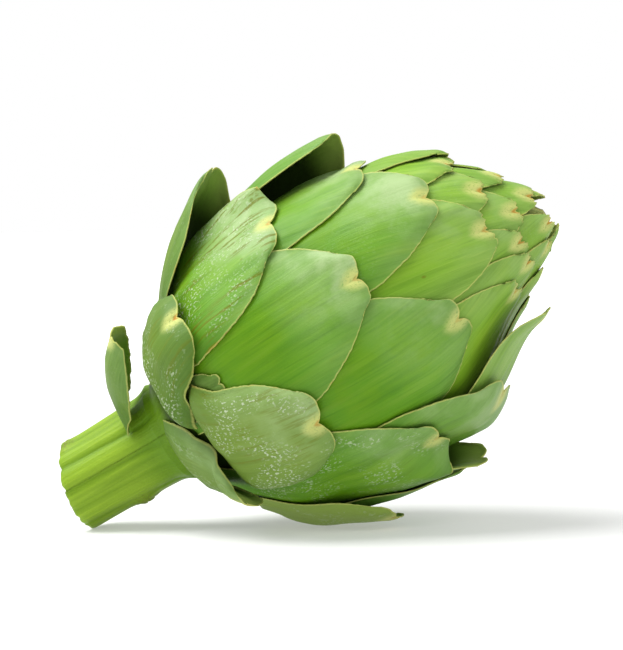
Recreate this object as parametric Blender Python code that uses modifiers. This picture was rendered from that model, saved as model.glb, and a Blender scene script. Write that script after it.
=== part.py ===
"""Globe artichoke, cut with a short stem and lying on its stem end and lower bracts.

Metres, +Z up.  The bud axis lies in the XZ plane and rises towards +X.  The origin is the
middle of the bounding box at floor height.

Every bract is a thin shell draped over the bracts it covers.  Places on the bud are given by
three numbers: s, the distance along the closed bud's outline from the stem; theta, the angle
round the axis (0 faces -Y, 90 degrees is the upper side); and h, the height above the core
formed by the heart and the inner bud.
"""
import math

import bpy
import numpy as np

MM = 0.001
DEG = math.pi / 180.0

# Lie of the thing and overall shape
AXIS_TILT = 28.0 * DEG
FLOOR_BITE = 0.45 * MM
FLAT_REACH = 1.5 * MM
STEM_LENGTH = 35.0 * MM
STEM_RADIUS = 13.4 * MM
STEM_CUT_SLOPE = 0.18
STEM_RIBS = 11
STEM_RIB_HEIGHT = 0.45 * MM
# Leaf scars on the stem: place along the axis, angle, height and spread
STEM_SCARS = [(-17, -82, 1.4, 3.5), (-31, 70, 1.0, 3.0)]

# Middle line of the leaf on the stem: step, place along the axis, radius and half width
STEM_LEAF_ANGLE = 52.0 * DEG
STEM_LEAF = [(0, -8.5, 14.9, 4), (1, -8, 20, 7.5), (2, -6.5, 27, 10), (3, -1.5, 35, 9),
             (4, 6, 41.5, 5)]

HEART_TOP = 30.0 * MM
INNER_BUD_TOP = 116.0 * MM
INNER_BUD_TIP = [(4, 0.86), (8, 0.66), (12, 0.43), (15, 0.24), (17, 0.1)]
INNER_BUD_LEAVES = 3
TOUCHING_GAP = 0.35 * MM

# Bract shells
BRACT_THICKNESS = 1.0 * MM
BRACT_GAP = 0.45 * MM
NOTCH_DEPTH = 2.0 * MM
CHORD_ERROR = 0.35 * MM

# Outline of the closed bud: place along the axis and radius, from the stem to the crown
BUD_OUTLINE = [(0, 14.8), (3, 20), (6, 25), (10.5, 31), (15, 36), (19.5, 40.5), (24, 44), (31, 46.5),
               (42, 47.5), (54, 47.5), (70, 46), (85, 42.5), (96, 38.5), (105.6, 33.5),
               (115, 26.5), (119.6, 22.5), (125, 17.5), (130, 13.8), (134, 10.5), (138, 7), (140, 5)]

# Depth of the core below that outline: distance along the outline and depth
CORE_DEPTH = [(0, 0.8), (6, 3.2), (12, 5.8), (20, 9), (30, 12.3), (42, 14.4), (60, 15),
              (75, 13.5), (90, 12), (106, 10), (120, 8.6), (133, 7.4), (144, 6), (155, 4.8),
              (164, 4.4)]

# One row per bract, outermost first: name, angle of the tip round the axis, turn of the foot
# away from it, place of the tip along the axis, half width, flare of the tip and the length
# over which it flares (degrees and millimetres)
BRACTS = [
    ("low_front", -44, 23, 21.5, 17, 2, 18),
    ("low_back", 150, 4, 27, 17, 2, 12),
    ("low_under", -134, -6, 27, 17, 1, 12),
    ("collar_front", 35, -9, 31.5, 25, 2, 18),
    ("collar_back", -168, 8, 34, 19, 2, 14),
    ("collar_top", 108, 2, 37, 19, 2, 14),
    ("foot_front", -85, 0, 53, 24, 8.2, 28),
    ("foot_back", -130, 3, 49, 20, 2, 22),
    ("belly_back", 164, -3, 49, 27, 1, 16),
    ("belly_front", -28, 8, 54, 30, 0.5, 16),
    ("belly_top", 87, -14, 52.5, 22, 11, 44),
    ("collar_side", 4, 2, 32, 16, 0, 12),
    ("belly_rear", 128, 3, 60, 27, 2, 18),
    ("belly_side", -156, -2, 63, 27, 0.5, 16),
    ("waist_top", 50, -6, 67, 30, 0.5, 14),
    ("waist_under", -108, 2, 71, 27, 2, 20),
    ("waist_rear", 170, 3, 74, 27, 0.5, 16),
    ("waist_front", -65, 2, 77, 28, 1, 24),
    ("mid_front", 13, -4, 84.5, 28, 0.3, 14),
    ("mid_side", -140, -3, 83, 27, 1, 16),
    ("mid_under", -96, 3, 78.5, 23, 7, 44),
    ("high_top", 90, 2, 86, 18, 9, 56),
    ("mid_rear", 140, 2, 87, 27, 1, 16),
    ("high_ridge", 71, 2, 94, 28, 0.5, 16),
    ("high_under", -75, -2, 96, 26, 3.5, 30),
    ("high_side", -168, 2, 96, 26, 0.5, 16),
    ("high_back", -118, -3, 99, 25, 1, 16),
    ("high_front", -26, 3, 101.5, 27, 0.3, 14),
    ("neck_rear", 122, 2, 103, 24, 0.5, 14),
    ("neck_side", 160, -3, 106, 24, 0.5, 14),
    ("neck_back", -146, 3, 108, 23, 0.5, 14),
    ("neck_top", 39, -2, 109.5, 25, 0.3, 12),
    ("neck_under", -73, -20, 114, 14.5, 9, 46),
    ("neck_far", -116, -3, 115, 19, 0.5, 12),
    ("neck_front", -49, 2, 116.5, 19, 0.3, 12),
    ("neck_ridge", 96, -3, 115, 19, 0.5, 12),
    ("crown_top", 75, -3, 116.5, 21, 0.3, 12),
    ("crown_rear", 138, 2, 118.5, 18, 0.3, 10),
    ("crown_front", 11, 3, 119.5, 18, 0.2, 10),
    ("crown_side", -172, 2, 119.5, 17, 0.3, 10),
    ("crown_back", -140, -2, 122, 15, 0.2, 10),
    ("inner_rear", 112, 3, 123, 14, 0.3, 10),
    ("inner_ridge", 45, -2, 123, 13, 0.2, 8),
    ("inner_front", -39, 2, 124.5, 13, 0.2, 8),
    ("inner_under", -92, -3, 124.5, 13, 0.3, 8),
    ("inner_side", 160, 3, 125.5, 12, 0.3, 8),
    ("inner_near", -14, 2, 126.5, 12, 0.2, 8),
    ("inner_top", 76, 3, 127.5, 11, 0.3, 8),
    ("tip_front", 22, -2, 129, 12, 0.2, 6),
    ("tip_side", -165, 2, 131, 12, 0.2, 6),
    ("tip_rear", 130, 2, 131, 12, 0.2, 6),
    ("tip_under", -65, -2, 131.5, 12, 0.2, 6),
    ("tip_ridge", 52, 2, 134.5, 11, 0.2, 5),
    ("tip_near", -22, -2, 136, 11, 0.2, 5),
    ("tip_back", -115, 2, 136, 11, 0.2, 5),
    ("tip_top", 97, -2, 137, 11, 0.2, 5),
]

# Feet of the bracts that grow higher up the heart: distance along the outline (millimetres)
BRACT_FEET = {"low_front": 8, "collar_front": 17, "collar_side": 24, "belly_front": 24}

# The crown leans: its radius grows by LEAN times the sine of the angle less LEAN_REST
LEAN = 0.2
LEAN_REST = 0.5
LEAN_FROM = 84.0 * MM
LEAN_FULL = 114.0 * MM

# Finishes: colour, roughness
FINISHES = {
    "stem_green": ((0.36, 0.46, 0.10), 0.55),
    "outer_leaf": ((0.22, 0.36, 0.12), 0.52),
    "middle_leaf": ((0.22, 0.40, 0.10), 0.48),
    "crown_leaf": ((0.27, 0.42, 0.10), 0.50),
    "inner_leaf": ((0.30, 0.33, 0.09), 0.60),
}

OUTLINE_STEPS = 240
ANGLE_STEPS = 240


def smooth_line(points, passes=60, count=OUTLINE_STEPS):
    """Return an evenly spaced, rounded line through the points as an array of rows."""
    rows = np.array(points, dtype=float) * MM
    for _ in range(2):
        lengths = np.r_[0.0, np.cumsum(np.linalg.norm(np.diff(rows, axis=0), axis=1))]
        places = np.linspace(0.0, lengths[-1], count)
        rows = np.stack([np.interp(places, lengths, column) for column in rows.T], axis=1)
        for _ in range(passes):
            rows[1:-1] = 0.25 * rows[:-2] + 0.5 * rows[1:-1] + 0.25 * rows[2:]
    return rows


OUTLINE = smooth_line(BUD_OUTLINE)
STEP = np.linalg.norm(np.diff(OUTLINE, axis=0), axis=1).mean()
S_GRID = np.arange(OUTLINE_STEPS) * STEP
TANGENT = np.gradient(OUTLINE, axis=0)
TANGENT /= np.linalg.norm(TANGENT, axis=1, keepdims=True)
NORMAL = np.stack([-TANGENT[:, 1], TANGENT[:, 0]], axis=1)
DEPTH = np.interp(S_GRID, *(np.array(CORE_DEPTH, dtype=float).T * MM))
for _ in range(60):
    DEPTH[1:-1] = 0.25 * DEPTH[:-2] + 0.5 * DEPTH[1:-1] + 0.25 * DEPTH[2:]
CORE = OUTLINE - DEPTH[:, None] * NORMAL
TURN = np.abs(np.gradient(np.unwrap(np.arctan2(TANGENT[:, 1], TANGENT[:, 0])), STEP))


def along(values, s):
    """Return a column of values read at distance s along the outline."""
    return np.interp(s, S_GRID, values)


def leaning(axial, theta):
    """Return how much fuller the crown is at a place: more on its upper side, less below."""
    part = np.clip((axial - LEAN_FROM) / (LEAN_FULL - LEAN_FROM), 0, 1)
    return 1 + LEAN * part * part * (3 - 2 * part) * (np.sin(theta) - LEAN_REST)


def bud_point(s, theta, h):
    """Return places on the bud as (along the axis, towards -Y, upwards) stacked last."""
    axial = along(CORE[:, 0], s) + h * along(NORMAL[:, 0], s)
    radius = along(CORE[:, 1], s) + h * along(NORMAL[:, 1], s)
    radius = radius * leaning(axial, theta)
    return np.stack([axial, radius * np.cos(theta), radius * np.sin(theta)], axis=-1)


def bud_coordinates(points, s_near):
    """Return s, theta and h of points that lie close to distance s_near."""
    theta = np.arctan2(points[..., 2], points[..., 1])
    radius = np.hypot(points[..., 1], points[..., 2]) / leaning(points[..., 0], theta)
    s = s_near
    for _ in range(2):
        off_axial = points[..., 0] - along(CORE[:, 0], s)
        off_radius = radius - along(CORE[:, 1], s)
        h = off_axial * along(NORMAL[:, 0], s) + off_radius * along(NORMAL[:, 1], s)
        slip = off_axial * along(TANGENT[:, 0], s) + off_radius * along(TANGENT[:, 1], s)
        s = s + slip
    return s, theta, h


def cells(s, theta):
    """Return fractional grid rows and columns for places on the bud."""
    rows = np.clip(s / STEP, 0, OUTLINE_STEPS - 1.001)
    columns = (theta / (2 * math.pi) * ANGLE_STEPS) % ANGLE_STEPS
    return rows, columns


def read_heights(field, s, theta):
    """Return the height field read between its grid cells."""
    rows, columns = cells(s, theta)
    row = rows.astype(int)
    column = columns.astype(int)
    part_r = rows - row
    part_c = columns - column
    after = (column + 1) % ANGLE_STEPS
    column = column % ANGLE_STEPS
    low = field[row, column] * (1 - part_c) + field[row, after] * part_c
    high = field[row + 1, column] * (1 - part_c) + field[row + 1, after] * part_c
    return low * (1 - part_r) + high * part_r


def spread(field, reach):
    """Return the field with every cell raised to its highest neighbour within reach."""
    for _ in range(reach):
        field = np.maximum(field, np.maximum(np.roll(field, 1, 1), np.roll(field, -1, 1)))
        padded = np.pad(field, ((1, 1), (0, 0)), mode="edge")
        field = np.maximum(field, np.maximum(padded[:-2], padded[2:]))
    return field


def soften(field, passes):
    """Return the field rounded off by repeated averaging with its neighbours."""
    for _ in range(passes):
        field = 0.25 * np.roll(field, 1, 1) + 0.5 * field + 0.25 * np.roll(field, -1, 1)
        padded = np.pad(field, ((1, 1), (0, 0)), mode="edge")
        field = 0.25 * padded[:-2] + 0.5 * field + 0.25 * padded[2:]
    return field


def quad_samples(grid, count):
    """Return values read evenly inside every quad of a (rows, columns, ...) grid."""
    parts = (np.arange(count) + 0.5) / count
    v, u = np.meshgrid(parts, parts)
    u = u.ravel()
    v = v.ravel()
    shape = (-1,) + (1,) * grid.ndim
    corners = ((grid[:-1, :-1], (1 - u) * (1 - v)), (grid[1:, :-1], u * (1 - v)),
               (grid[:-1, 1:], (1 - u) * v), (grid[1:, 1:], u * v))
    return sum(weight.reshape(shape) * corner[None] for corner, weight in corners)


def sheet_samples(s, theta, h, count):
    """Return s, theta and h of points spread over the flat quads of a draped sheet."""
    points = quad_samples(bud_point(s, theta, h), count)
    return bud_coordinates(points, quad_samples(s, count))


def place_rows(s_base, s_tip):
    """Return distances along the outline for the rows of a bract, closer where it curves."""
    s = np.linspace(s_base, s_tip, 400)
    curve = np.maximum(along(TURN, s), 1.0 / 0.11)
    length = np.minimum(np.sqrt(8 * CHORD_ERROR / curve), 2.2 * MM + 0.5 * (s_tip - s))
    total = np.r_[0.0, np.cumsum((s[1] - s[0]) / length[:-1])]
    rows = np.linspace(0.0, total[-1], int(math.ceil(total[-1])) + 1)
    return np.interp(rows, total, s)


def half_width(from_tip, from_base, widest):
    """Return the half width of a bract: lobed tip, slanting shoulders, narrower foot."""
    reach = from_tip / (0.95 * widest)
    shoulder = np.interp(reach, [0, 0.12, 0.3, 0.6, 1.0, 1.35], [0.26, 0.34, 0.46, 0.65, 0.89, 1])
    foot = np.interp(from_base, [0, 12 * MM, 28 * MM, 48 * MM], [0.42, 0.55, 0.85, 1.0])
    return widest * shoulder * foot


def tip_line(v, widest):
    """Return how far the tip's edge lies behind its lobes: the middle notch and corners."""
    size = math.sqrt(widest / (28 * MM))
    notch = NOTCH_DEPTH * np.clip(1 - np.abs(v) / 0.6, 0, 1)
    corner = 2.2 * MM * np.clip((np.abs(v) - 0.6) / 0.4, 0, 1) ** 1.5
    return size * (notch + corner)


def tip_distance(axial):
    """Return the distance along the outline at which the closed bud reaches a height."""
    return float(np.interp(axial, OUTLINE[:, 0], S_GRID))


def foot_distance(tip):
    """Return where a bract grows from the heart; inner bracts stand further in."""
    return np.interp(tip, [23 * MM, 50 * MM, 90 * MM, 131 * MM], [1.5 * MM, 7 * MM, 22 * MM, 44 * MM])


def bract_layout(name, angle, foot_turn, tip, widest):
    """Return s and theta grids of one bract, rows from foot to tip."""
    s_tip = tip_distance(tip)
    s_base = BRACT_FEET[name] * MM if name in BRACT_FEET else foot_distance(tip)
    rows = place_rows(s_base, s_tip)
    columns = 6 if widest > 15.5 * MM else 4
    v = np.linspace(-1, 1, columns + 1)[None, :]
    from_tip = (s_tip - rows)[:, None]
    from_base = (rows - s_base)[:, None]
    s = rows[:, None] - tip_line(v, widest) * np.clip(1 - from_tip / (13 * MM), 0, 1)
    width = half_width(from_tip, from_base, widest)
    lean = foot_turn * from_tip / (s_tip - s_base)
    theta = angle + lean + v * width / along(OUTLINE[:, 1], rows)[:, None]
    return s, theta


def relax(heights):
    """Return a sheet's heights evened out between neighbouring rows and columns."""
    padded = np.pad(heights, 1, mode="reflect", reflect_type="odd")
    rows = 0.5 * (padded[:-2, 1:-1] + padded[2:, 1:-1])
    columns = 0.5 * (padded[1:-1, :-2] + padded[1:-1, 2:])
    return 0.5 * heights + 0.25 * rows + 0.25 * columns


def drape(floor, s, theta):
    """Return the underside heights of a sheet that clears everything beneath it."""
    heights = read_heights(soften(spread(floor, 2), 10), s, theta) + BRACT_GAP
    for turn in range(26):
        got_s, got_theta, got_h = sheet_samples(s, theta, heights, 6)
        lack = (read_heights(floor, got_s, got_theta) + BRACT_GAP - got_h).max(axis=0)
        lack = np.clip(lack, 0, None)
        if turn > 10 and lack.max() < 0.01 * MM:
            break
        raised = np.zeros_like(heights)
        for rows, columns in ((slice(0, -1), slice(0, -1)), (slice(1, None), slice(0, -1)),
                              (slice(0, -1), slice(1, None)), (slice(1, None), slice(1, None))):
            raised[rows, columns] = np.maximum(raised[rows, columns], lack)
        heights = heights + raised * (0.5 if turn < 17 else 1.0)
        if turn < 10:
            heights = relax(heights)
    return heights


def rise(s, theta, heights):
    """Return how much further a slanting sheet's outer face lies above its underside."""
    slope = np.gradient(heights, axis=0) / np.gradient(s, axis=0)
    squeezed = leaning(along(OUTLINE[:, 0], s), theta)
    return BRACT_THICKNESS * np.sqrt(1 + np.clip(slope, -2, 2) ** 2) / np.minimum(squeezed, 1)


def raise_floor(floor, s, theta, top):
    """Return the height field with a sheet's outer face added to it."""
    got_s, got_theta, got_h = sheet_samples(s, theta, top, 20)
    rows, columns = cells(got_s, got_theta)
    layer = np.zeros_like(floor)
    index = (np.rint(rows).astype(int).ravel() % OUTLINE_STEPS,
             np.rint(columns).astype(int).ravel() % ANGLE_STEPS)
    np.maximum.at(layer, index, got_h.ravel())
    return np.maximum(floor, spread(layer, 1))


def to_world(points):
    """Return bud places turned to the lie of the thing, origin at the foot of the bud."""
    x = points[..., 0] * math.cos(AXIS_TILT) - points[..., 2] * math.sin(AXIS_TILT)
    z = points[..., 0] * math.sin(AXIS_TILT) + points[..., 2] * math.cos(AXIS_TILT)
    return np.stack([x, -points[..., 1], z], axis=-1)


def grid_faces(rows, columns, wrap=False):
    """Return quads of a grid of points, joined round its columns when wrap is true."""
    last = columns if wrap else columns - 1
    faces = []
    for i in range(rows - 1):
        for j in range(last):
            k = (j + 1) % columns
            faces.append((i * columns + j, (i + 1) * columns + j,
                          (i + 1) * columns + k, i * columns + k))
    return faces


def finish_material(slot):
    """Return the slot's Principled material, made on first use."""
    material = bpy.data.materials.get(slot)
    if material is None:
        colour, roughness = FINISHES[slot]
        material = bpy.data.materials.new(slot)
        material.use_nodes = True
        shader = material.node_tree.nodes["Principled BSDF"]
        shader.inputs["Base Color"].default_value = (*colour, 1.0)
        shader.inputs["Roughness"].default_value = roughness
        shader.inputs["Metallic"].default_value = 0.0
        material.diffuse_color = (*colour, 1.0)
    return material


def add_object(name, points, faces, slot, collection):
    """Return a new smooth shaded mesh object with one finish."""
    mesh = bpy.data.meshes.new(name)
    mesh.from_pydata([tuple(point) for point in points.reshape(-1, 3)], [], faces)
    mesh.shade_smooth()
    mesh.materials.append(finish_material(slot))
    made = bpy.data.objects.new(name, mesh)
    collection.objects.link(made)
    return made


def add_shell(made, thickness):
    """Give an open sheet its thickness on the inner side."""
    shell = made.modifiers.new("thickness", "SOLIDIFY")
    shell.thickness = thickness
    shell.offset = -1.0
    shell.use_rim = True


def bract_slot(tip):
    """Return the finish of a bract from the height of its tip."""
    if tip < 58 * MM:
        return "outer_leaf"
    if tip < 112 * MM:
        return "middle_leaf"
    return "crown_leaf"


def build_bracts(collection):
    """Build every bract from the innermost layer outwards."""
    floor = np.zeros((OUTLINE_STEPS, ANGLE_STEPS))
    for name, angle, foot_turn, tip, widest, flare, reach in reversed(BRACTS):
        tip = tip * MM
        s, theta = bract_layout(name, angle * DEG, foot_turn * DEG, tip, widest * MM)
        heights = drape(floor, s, theta)
        ease = np.clip(1 - (tip_distance(tip) - s) / (reach * MM), 0, 1)
        cupped = 1 - 0.35 * np.linspace(-1, 1, s.shape[1]) ** 2
        top = heights + rise(s, theta, heights) + flare * MM * ease ** 1.4 * cupped
        floor = raise_floor(floor, s, theta, top)
        points = to_world(bud_point(s, theta, top))
        made = add_object("bract_" + name, points, grid_faces(*s.shape), bract_slot(tip),
                          collection)
        add_shell(made, BRACT_THICKNESS)


def stem_radius(axial, theta):
    """Return the stem's radius: soft ribs, a slight swelling upwards and two leaf scars."""
    place = 1 + axial / STEM_LENGTH
    radius = STEM_RADIUS + 0.9 * MM * np.clip(place, 0, 1) ** 2
    radius = radius + STEM_RIB_HEIGHT * np.cos(STEM_RIBS * theta + 0.5 * place)
    radius = radius + 0.3 * MM * np.cos(3 * theta + 2 * place)
    for scar_axial, scar_angle, height, size in STEM_SCARS:
        turn = (theta - scar_angle * DEG + math.pi) % (2 * math.pi) - math.pi
        away = np.hypot((axial - scar_axial * MM) / (size * MM), turn * STEM_RADIUS / (size * MM))
        radius = radius + height * MM * np.exp(-away ** 2)
    return radius


def heart_distances(top):
    """Return outline distances for heart rings, from just past the stem to the heart's top."""
    last = float(np.interp(top, CORE[:, 0], S_GRID))
    return np.linspace(2.0 * MM, last, 9)


def build_stem_and_heart(collection):
    """Loft the ribbed stem from its slanting cut into the heart that carries the bracts."""
    sides = 44
    theta = np.arange(sides) / sides * 2 * math.pi
    rings = []
    for place in np.r_[0, 0.03, 0.07, np.linspace(0.15, 1, 10)]:
        axial = STEM_LENGTH * (place - 1) + STEM_CUT_SLOPE * STEM_RADIUS * np.sin(theta) * (1 - place)
        around = stem_radius(axial, theta)
        rings.append(np.stack([axial, around * np.cos(theta), around * np.sin(theta)], axis=-1))
    for s in heart_distances(HEART_TOP):
        rings.append(bud_point(np.full(sides, s), theta, np.zeros(sides)))
    rings.append(rings[-1] * (1.0, 0.55, 0.55) + (2.0 * MM, 0.0, 0.0))
    cut = rings[0] * (1.0, 0.6, 0.6)
    cut[:, 0] = rings[0][:, 0].mean() + 0.6 * (rings[0][:, 0] - rings[0][:, 0].mean())
    points = np.array([cut] + rings)
    faces = grid_faces(len(points), sides, wrap=True)
    faces.append(tuple(range(sides)))
    faces.append(tuple(len(points) * sides - 1 - j for j in range(sides)))
    add_object("stem_and_heart", to_world(points), faces, "stem_green", collection)


def build_stem_leaf(collection):
    """Bend a small cupped leaf up and away from the stem, hollow side towards the bud."""
    rows = np.linspace(0, 1, 9)[:, None]
    across = np.linspace(-1, 1, 7)[None, :]
    knots, axial, radius, width = np.array(STEM_LEAF, dtype=float).T
    knots = knots / knots[-1]
    tip = np.clip(rows * 4 - 3, 0, 1)
    length = rows - tip * (0.05 * np.abs(across) ** 1.5 + 0.03 * (across == 0))
    centre_a = np.interp(length, knots, axial) * MM
    centre_r = np.interp(length, knots, radius) * MM
    half = np.interp(rows, knots, width) * MM
    swing = across * 64 * DEG
    side = half * np.sin(swing) / math.sin(64 * DEG)
    cup = half * (1 - np.cos(swing)) * 1.1
    slope = math.atan2(radius[-1] - radius[1], axial[-1] - axial[1])
    local_a = centre_a + cup * math.sin(slope)
    local_r = centre_r - cup * math.cos(slope) * np.clip(rows * 3, 0, 1)
    points = np.stack([
        local_a,
        local_r * math.cos(STEM_LEAF_ANGLE) + side * math.sin(STEM_LEAF_ANGLE),
        local_r * math.sin(STEM_LEAF_ANGLE) - side * math.cos(STEM_LEAF_ANGLE),
    ], axis=-1)
    made = add_object("stem_leaf", to_world(points), grid_faces(9, 7), "outer_leaf", collection)
    add_shell(made, BRACT_THICKNESS)


def build_inner_bud(collection):
    """Turn the closed inner leaves about the axis as one tight cone."""
    sides = 36
    theta = np.arange(sides) / sides * 2 * math.pi
    first = float(np.interp(HEART_TOP, CORE[:, 0], S_GRID)) + TOUCHING_GAP
    last = float(np.interp(INNER_BUD_TOP, CORE[:, 0], S_GRID))
    rings = [bud_point(np.full(sides, s), theta, np.zeros(sides))
             for s in np.linspace(first, last, 13)]
    hollow = rings[0] * (1.0, 0.55, 0.55) + (2.0 * MM, 0.0, 0.0)
    caps = [rings[-1] * (1.0, shrink, shrink) + (lift * MM, 0.0, 0.0)
            for lift, shrink in INNER_BUD_TIP]
    points = np.array([hollow] + rings + caps)
    # Spiral edges of the innermost leaves on the part that shows
    for row in range(10, len(points)):
        fold = (INNER_BUD_LEAVES * theta / (2 * math.pi) + 0.07 * row) % 1.0
        points[row, :, 1:] *= (1 - 0.012 * (row - 9) * fold)[:, None]
    faces = grid_faces(len(points), sides, wrap=True)
    faces.append(tuple(range(sides)))
    faces.append(tuple(len(points) * sides - 1 - j for j in range(sides)))
    add_object("inner_bud", to_world(points), faces, "inner_leaf", collection)


def set_down(collection):
    """Flatten the lowest places a little on the floor and centre the thing over the origin."""
    bpy.context.view_layer.update()
    stem = bpy.data.objects["stem_and_heart"].data
    level = min(vertex.co.z for vertex in stem.vertices) + FLOOR_BITE
    for made in collection.objects:
        for vertex in made.data.vertices:
            if vertex.co.z < level + FLAT_REACH:
                vertex.co.z = level
    graph = bpy.context.evaluated_depsgraph_get()
    corners = []
    for made in collection.objects:
        shape = made.evaluated_get(graph).data
        points = np.empty(len(shape.vertices) * 3)
        shape.vertices.foreach_get("co", points)
        corners += [points.reshape(-1, 3).min(axis=0), points.reshape(-1, 3).max(axis=0)]
    low = np.min(corners, axis=0)
    high = np.max(corners, axis=0)
    shift = np.array([(low[0] + high[0]) / 2, (low[1] + high[1]) / 2, level])
    for made in collection.objects:
        for vertex in made.data.vertices:
            vertex.co = np.array(vertex.co) - shift
        made.data.update()


def main():
    """Build the artichoke and set it down on the floor."""
    for old in list(bpy.data.objects):
        bpy.data.objects.remove(old, do_unlink=True)
    collection = bpy.data.collections.new("globe_artichoke")
    bpy.context.scene.collection.children.link(collection)
    build_stem_and_heart(collection)
    build_stem_leaf(collection)
    build_inner_bud(collection)
    build_bracts(collection)
    set_down(collection)


main()
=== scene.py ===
"""Globe artichoke lying on a pale floor: fine leaves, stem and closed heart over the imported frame.

Metres, +Z up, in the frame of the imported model.  The bud has a frame of its own, written
(along its axis, towards -Y, upwards), with its origin where the stem meets the bud.  Places
on the bud are (s, theta, h): the distance along the closed bud's outline from the stem, the
angle round the axis with 0 facing -Y and 90 degrees on the upper side, and the height above
the solid heart, measured square to the outline.  Leaves are laid from the innermost to the
outermost, each resting on a height field that the earlier leaves have raised.
"""
import logging
import math
from dataclasses import dataclass, field
from enum import Enum
from typing import Callable, Sequence, Union

import bpy
import numpy as np
from mathutils import Matrix


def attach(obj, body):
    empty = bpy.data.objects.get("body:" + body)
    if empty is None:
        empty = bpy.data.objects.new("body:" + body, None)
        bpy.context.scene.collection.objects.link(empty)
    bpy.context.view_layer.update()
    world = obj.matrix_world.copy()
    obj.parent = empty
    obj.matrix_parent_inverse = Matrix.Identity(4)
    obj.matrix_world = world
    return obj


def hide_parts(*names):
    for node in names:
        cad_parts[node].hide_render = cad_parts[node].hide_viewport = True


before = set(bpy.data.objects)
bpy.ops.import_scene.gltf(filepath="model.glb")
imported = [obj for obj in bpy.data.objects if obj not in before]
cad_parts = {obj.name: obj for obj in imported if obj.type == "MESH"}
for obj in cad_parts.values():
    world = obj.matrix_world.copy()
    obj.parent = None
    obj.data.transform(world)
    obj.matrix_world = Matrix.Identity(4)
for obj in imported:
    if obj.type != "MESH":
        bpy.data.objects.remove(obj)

MM = 0.001
LOG = logging.getLogger("artichoke")
Colour = tuple[float, float, float]
Grid = np.ndarray


class Slot(Enum):
    """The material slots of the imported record."""

    STEM = "stem_green"
    OUTER = "outer_leaf"
    MIDDLE = "middle_leaf"
    CROWN = "crown_leaf"
    INNER = "inner_leaf"


# ---------------------------------------------------------------- shaping helpers


def evened(values: Grid) -> Grid:
    """Return a grid averaged with its neighbours, straight on past its borders.

    Each value becomes half itself plus an eighth of each of its four neighbours.

    Args:
        values: Grid of numbers, rows by columns.

    Returns:
        The averaged grid, of the same shape.
    """
    wide = np.pad(values, 1, mode="reflect", reflect_type="odd")
    around = wide[:-2, 1:-1] + wide[2:, 1:-1] + wide[1:-1, :-2] + wide[1:-1, 2:]
    return 0.5 * values + 0.125 * around


def soft_curve(knots: Sequence[float], values: Sequence[float], blur: float) -> Callable[[Grid], Grid]:
    """Return a function that follows straight lines between knots with rounded corners.

    The broken line is sampled finely and averaged over a window of the given width.

    Args:
        knots: Rising places.
        values: The value at each place.
        blur: Width of the rounding, in the unit of the knots.

    Returns:
        A function of an array of places.
    """
    places = np.linspace(knots[0] - blur, knots[-1] + blur, 800)
    line = np.interp(places, knots, values)
    reach = max(1, int(blur / (places[1] - places[0]) / 2))
    window = np.hanning(2 * reach + 3)
    padded = np.pad(line, reach + 1, mode="edge")
    line = np.convolve(padded, window / window.sum(), mode="valid")
    return lambda x: np.interp(x, places, line)


def fade(x: Grid, low: float, high: float) -> Grid:
    """Return 0 below low and 1 above high, with a smooth S between them."""
    t = np.clip((x - low) / (high - low), 0.0, 1.0)
    return t * t * (3.0 - 2.0 * t)


def ripple(x: Grid, wave: float, seed: float) -> Grid:
    """Return an uneven wave from -1 to 1: three sines of unrelated lengths, shifted by seed."""
    turn = 2.0 * math.pi / wave
    return (0.5 * np.sin(turn * x + 5.1 * seed) + 0.3 * np.sin(1.73 * turn * x + 9.7 * seed)
            + 0.2 * np.sin(2.91 * turn * x + 3.3 * seed))


def finer(grid: Grid, times: int) -> Grid:
    """Return a grid resampled linearly with the given number of steps per cell."""
    rows = np.linspace(0, grid.shape[0] - 1, (grid.shape[0] - 1) * times + 1)
    columns = np.linspace(0, grid.shape[1] - 1, (grid.shape[1] - 1) * times + 1)
    row = np.minimum(rows.astype(int), grid.shape[0] - 2)
    column = np.minimum(columns.astype(int), grid.shape[1] - 2)
    part = (rows - row)[:, None]
    tall = grid[row] * (1 - part) + grid[row + 1] * part
    part = (columns - column)[None, :]
    return tall[:, column] * (1 - part) + tall[:, column + 1] * part


def quads(rows: int, columns: int, wrap: bool = False) -> Grid:
    """Return the quads of a grid of points, numbered row by row.

    Args:
        rows: Number of rows of points.
        columns: Number of columns of points.
        wrap: Whether the last column joins the first.

    Returns:
        Array of four point numbers per quad.
    """
    i = np.arange(rows - 1)[:, None]
    j = np.arange(columns if wrap else columns - 1)[None, :]
    k = (j + 1) % columns
    corners = np.stack([i * columns + j, (i + 1) * columns + j, (i + 1) * columns + k,
                        i * columns + k], axis=-1)
    return corners.reshape(-1, 4)


def put(name: str, data: bpy.types.ID, pose: Matrix = Matrix()) -> bpy.types.Object:
    """Add an object to the scene and return it.

    Args:
        name: Its name.
        data: Its mesh, lamp or camera.
        pose: Where it stands and how it is turned.

    Returns:
        The new object.
    """
    made = bpy.data.objects.new(name, data)
    made.matrix_world = pose
    bpy.context.scene.collection.objects.link(made)
    return made


@dataclass
class Solid:
    """One closed mesh: points, quads, end caps and the values its finish reads."""

    name: str
    points: Grid
    faces: Grid
    caps: list[list[int]] = field(default_factory=list)
    marks: dict[str, Grid] = field(default_factory=dict)

    def build(self, material: bpy.types.Material) -> bpy.types.Object:
        """Put the solid in the scene as a smooth shaded mesh.

        Args:
            material: The finish.

        Returns:
            The new object.
        """
        mesh = bpy.data.meshes.new(self.name)
        mesh.from_pydata(self.points.reshape(-1, 3), [], self.faces.tolist() + self.caps)
        for title, values in self.marks.items():
            kind, key = ("FLOAT", "value") if values.ndim == 1 else ("FLOAT_VECTOR", "vector")
            layer = mesh.attributes.new(title, kind, "POINT")
            layer.data.foreach_set(key, values.astype(np.float32).ravel())
        mesh.shade_smooth()
        mesh.materials.append(material)
        mesh.validate()
        return put(self.name, mesh)


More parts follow.
